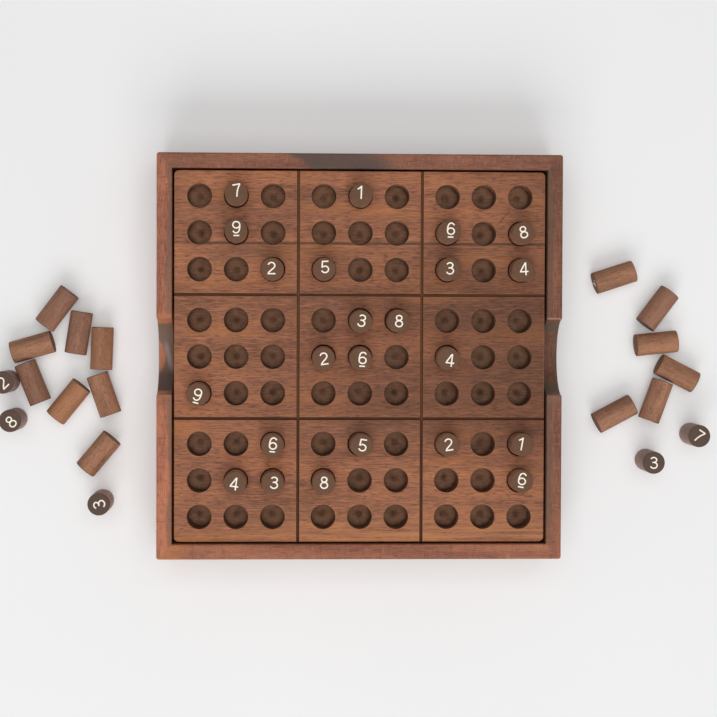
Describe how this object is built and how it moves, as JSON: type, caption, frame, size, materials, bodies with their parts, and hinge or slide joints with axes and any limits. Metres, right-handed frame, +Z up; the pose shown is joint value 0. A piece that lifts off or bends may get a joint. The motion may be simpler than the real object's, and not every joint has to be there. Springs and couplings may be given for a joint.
{
  "type": "sudoku board",
  "caption": "Mitred wooden sudoku box with a lift-out board of round sockets in grooved blocks, numbered pegs in it and beside it, finger scoops and a storage tray.",
  "frame": {"origin": "middle of the box's underside, on the table", "axes": "+X to the right in the picture, +Y to the back (the top of the picture), +Z up out of the sockets"},
  "size_m": [0.385, 0.213, 0.047],
  "materials": {
    "rail_wood": "satin oiled reddish hardwood",
    "board_wood": "satin oiled hardwood, grain left to right",
    "ledge_wood": "plain sanded hardwood",
    "panel_wood": "plain sanded plywood",
    "peg_wood": "satin oiled dowel"
  },
  "bodies": {
    "box": {"rail_back": "rail_wood", "rail_front": "rail_wood", "rail_left": "rail_wood", "rail_right": "rail_wood", "bottom_panel": "panel_wood", "ledge_back": "ledge_wood", "ledge_front": "ledge_wood", "ledge_left": "ledge_wood", "ledge_right": "ledge_wood"},
    "board": {"play_board": "board_wood", "board_backing": "board_wood"},
    "stored_pegs": {"stored_pegs": "peg_wood"},
    "peg_r1c2": {"peg_r1c2": "peg_wood"},
    "peg_r1c5": {"peg_r1c5": "peg_wood"},
    "peg_r2c2": {"peg_r2c2": "peg_wood"},
    "peg_r2c7": {"peg_r2c7": "peg_wood"},
    "peg_r2c9": {"peg_r2c9": "peg_wood"},
    "peg_r3c3": {"peg_r3c3": "peg_wood"},
    "peg_r3c4": {"peg_r3c4": "peg_wood"},
    "peg_r3c7": {"peg_r3c7": "peg_wood"},
    "peg_r3c9": {"peg_r3c9": "peg_wood"},
    "peg_r4c5": {"peg_r4c5": "peg_wood"},
    "peg_r4c6": {"peg_r4c6": "peg_wood"},
    "peg_r5c4": {"peg_r5c4": "peg_wood"},
    "peg_r5c5": {"peg_r5c5": "peg_wood"},
    "peg_r5c7": {"peg_r5c7": "peg_wood"},
    "peg_r6c1": {"peg_r6c1": "peg_wood"},
    "peg_r7c3": {"peg_r7c3": "peg_wood"},
    "peg_r7c5": {"peg_r7c5": "peg_wood"},
    "peg_r7c7": {"peg_r7c7": "peg_wood"},
    "peg_r7c9": {"peg_r7c9": "peg_wood"},
    "peg_r8c2": {"peg_r8c2": "peg_wood"},
    "peg_r8c3": {"peg_r8c3": "peg_wood"},
    "peg_r8c4": {"peg_r8c4": "peg_wood"},
    "peg_r8c9": {"peg_r8c9": "peg_wood"},
    "lying_peg_1": {"lying_peg_1": "peg_wood"},
    "lying_peg_2": {"lying_peg_2": "peg_wood"},
    "lying_peg_3": {"lying_peg_3": "peg_wood"},
    "lying_peg_4": {"lying_peg_4": "peg_wood"},
    "lying_peg_5": {"lying_peg_5": "peg_wood"},
    "lying_peg_6": {"lying_peg_6": "peg_wood"},
    "lying_peg_7": {"lying_peg_7": "peg_wood"},
    "lying_peg_8": {"lying_peg_8": "peg_wood"},
    "lying_peg_9": {"lying_peg_9": "peg_wood"},
    "lying_peg_10": {"lying_peg_10": "peg_wood"},
    "lying_peg_11": {"lying_peg_11": "peg_wood"},
    "lying_peg_12": {"lying_peg_12": "peg_wood"},
    "lying_peg_13": {"lying_peg_13": "peg_wood"},
    "lying_peg_14": {"lying_peg_14": "peg_wood"},
    "standing_peg_1": {"standing_peg_1": "peg_wood"},
    "standing_peg_2": {"standing_peg_2": "peg_wood"},
    "standing_peg_3": {"standing_peg_3": "peg_wood"},
    "standing_peg_4": {"standing_peg_4": "peg_wood"},
    "standing_peg_5": {"standing_peg_5": "peg_wood"}
  },
  "joints": [
    {"name": "board_lift", "type": "slide", "parent": "box", "child": "board", "axis": [0, 0, 1], "range_m": [0, 0.06]},
    {"name": "stored_pegs_shift", "type": "slide", "parent": "box", "child": "stored_pegs", "axis": [1, 0, 0], "range_m": [0, 0.1]},
    {"name": "peg_r1c2_lift", "type": "slide", "parent": "board", "child": "peg_r1c2", "axis": [0, 0, 1], "range_m": [0, 0.03]},
    {"name": "peg_r1c5_lift", "type": "slide", "parent": "board", "child": "peg_r1c5", "axis": [0, 0, 1], "range_m": [0, 0.03]},
    {"name": "peg_r2c2_lift", "type": "slide", "parent": "board", "child": "peg_r2c2", "axis": [0, 0, 1], "range_m": [0, 0.03]},
    {"name": "peg_r2c7_lift", "type": "slide", "parent": "board", "child": "peg_r2c7", "axis": [0, 0, 1], "range_m": [0, 0.03]},
    {"name": "peg_r2c9_lift", "type": "slide", "parent": "board", "child": "peg_r2c9", "axis": [0, 0, 1], "range_m": [0, 0.03]},
    {"name": "peg_r3c3_lift", "type": "slide", "parent": "board", "child": "peg_r3c3", "axis": [0, 0, 1], "range_m": [0, 0.03]},
    {"name": "peg_r3c4_lift", "type": "slide", "parent": "board", "child": "peg_r3c4", "axis": [0, 0, 1], "range_m": [0, 0.03]},
    {"name": "peg_r3c7_lift", "type": "slide", "parent": "board", "child": "peg_r3c7", "axis": [0, 0, 1], "range_m": [0, 0.03]},
    {"name": "peg_r3c9_lift", "type": "slide", "parent": "board", "child": "peg_r3c9", "axis": [0, 0, 1], "range_m": [0, 0.03]},
    {"name": "peg_r4c5_lift", "type": "slide", "parent": "board", "child": "peg_r4c5", "axis": [0, 0, 1], "range_m": [0, 0.03]},
    {"name": "peg_r4c6_lift", "type": "slide", "parent": "board", "child": "peg_r4c6", "axis": [0, 0, 1], "range_m": [0, 0.03]},
    {"name": "peg_r5c4_lift", "type": "slide", "parent": "board", "child": "peg_r5c4", "axis": [0, 0, 1], "range_m": [0, 0.03]},
    {"name": "peg_r5c5_lift", "type": "slide", "parent": "board", "child": "peg_r5c5", "axis": [0, 0, 1], "range_m": [0, 0.03]},
    {"name": "peg_r5c7_lift", "type": "slide", "parent": "board", "child": "peg_r5c7", "axis": [0, 0, 1], "range_m": [0, 0.03]},
    {"name": "peg_r6c1_lift", "type": "slide", "parent": "board", "child": "peg_r6c1", "axis": [0, 0, 1], "range_m": [0, 0.03]},
    {"name": "peg_r7c3_lift", "type": "slide", "parent": "board", "child": "peg_r7c3", "axis": [0, 0, 1], "range_m": [0, 0.03]},
    {"name": "peg_r7c5_lift", "type": "slide", "parent": "board", "child": "peg_r7c5", "axis": [0, 0, 1], "range_m": [0, 0.03]},
    {"name": "peg_r7c7_lift", "type": "slide", "parent": "board", "child": "peg_r7c7", "axis": [0, 0, 1], "range_m": [0, 0.03]},
    {"name": "peg_r7c9_lift", "type": "slide", "parent": "board", "child": "peg_r7c9", "axis": [0, 0, 1], "range_m": [0, 0.03]},
    {"name": "peg_r8c2_lift", "type": "slide", "parent": "board", "child": "peg_r8c2", "axis": [0, 0, 1], "range_m": [0, 0.03]},
    {"name": "peg_r8c3_lift", "type": "slide", "parent": "board", "child": "peg_r8c3", "axis": [0, 0, 1], "range_m": [0, 0.03]},
    {"name": "peg_r8c4_lift", "type": "slide", "parent": "board", "child": "peg_r8c4", "axis": [0, 0, 1], "range_m": [0, 0.03]},
    {"name": "peg_r8c9_lift", "type": "slide", "parent": "board", "child": "peg_r8c9", "axis": [0, 0, 1], "range_m": [0, 0.03]},
    {"name": "lying_peg_1_lift", "type": "slide", "parent": "box", "child": "lying_peg_1", "axis": [0, 0, 1], "range_m": [0, 0.05]},
    {"name": "lying_peg_2_lift", "type": "slide", "parent": "box", "child": "lying_peg_2", "axis": [0, 0, 1], "range_m": [0, 0.05]},
    {"name": "lying_peg_3_lift", "type": "slide", "parent": "box", "child": "lying_peg_3", "axis": [0, 0, 1], "range_m": [0, 0.05]},
    {"name": "lying_peg_4_lift", "type": "slide", "parent": "box", "child": "lying_peg_4", "axis": [0, 0, 1], "range_m": [0, 0.05]},
    {"name": "lying_peg_5_lift", "type": "slide", "parent": "box", "child": "lying_peg_5", "axis": [0, 0, 1], "range_m": [0, 0.05]},
    {"name": "lying_peg_6_lift", "type": "slide", "parent": "box", "child": "lying_peg_6", "axis": [0, 0, 1], "range_m": [0, 0.05]},
    {"name": "lying_peg_7_lift", "type": "slide", "parent": "box", "child": "lying_peg_7", "axis": [0, 0, 1], "range_m": [0, 0.05]},
    {"name": "lying_peg_8_lift", "type": "slide", "parent": "box", "child": "lying_peg_8", "axis": [0, 0, 1], "range_m": [0, 0.05]},
    {"name": "lying_peg_9_lift", "type": "slide", "parent": "box", "child": "lying_peg_9", "axis": [0, 0, 1], "range_m": [0, 0.05]},
    {"name": "lying_peg_10_lift", "type": "slide", "parent": "box", "child": "lying_peg_10", "axis": [0, 0, 1], "range_m": [0, 0.05]},
    {"name": "lying_peg_11_lift", "type": "slide", "parent": "box", "child": "lying_peg_11", "axis": [0, 0, 1], "range_m": [0, 0.05]},
    {"name": "lying_peg_12_lift", "type": "slide", "parent": "box", "child": "lying_peg_12", "axis": [0, 0, 1], "range_m": [0, 0.05]},
    {"name": "lying_peg_13_lift", "type": "slide", "parent": "box", "child": "lying_peg_13", "axis": [0, 0, 1], "range_m": [0, 0.05]},
    {"name": "lying_peg_14_lift", "type": "slide", "parent": "box", "child": "lying_peg_14", "axis": [0, 0, 1], "range_m": [0, 0.05]},
    {"name": "standing_peg_1_lift", "type": "slide", "parent": "box", "child": "standing_peg_1", "axis": [0, 0, 1], "range_m": [0, 0.05]},
    {"name": "standing_peg_2_lift", "type": "slide", "parent": "box", "child": "standing_peg_2", "axis": [0, 0, 1], "range_m": [0, 0.05]},
    {"name": "standing_peg_3_lift", "type": "slide", "parent": "box", "child": "standing_peg_3", "axis": [0, 0, 1], "range_m": [0, 0.05]},
    {"name": "standing_peg_4_lift", "type": "slide", "parent": "box", "child": "standing_peg_4", "axis": [0, 0, 1], "range_m": [0, 0.05]},
    {"name": "standing_peg_5_lift", "type": "slide", "parent": "box", "child": "standing_peg_5", "axis": [0, 0, 1], "range_m": [0, 0.05]}
  ]
}
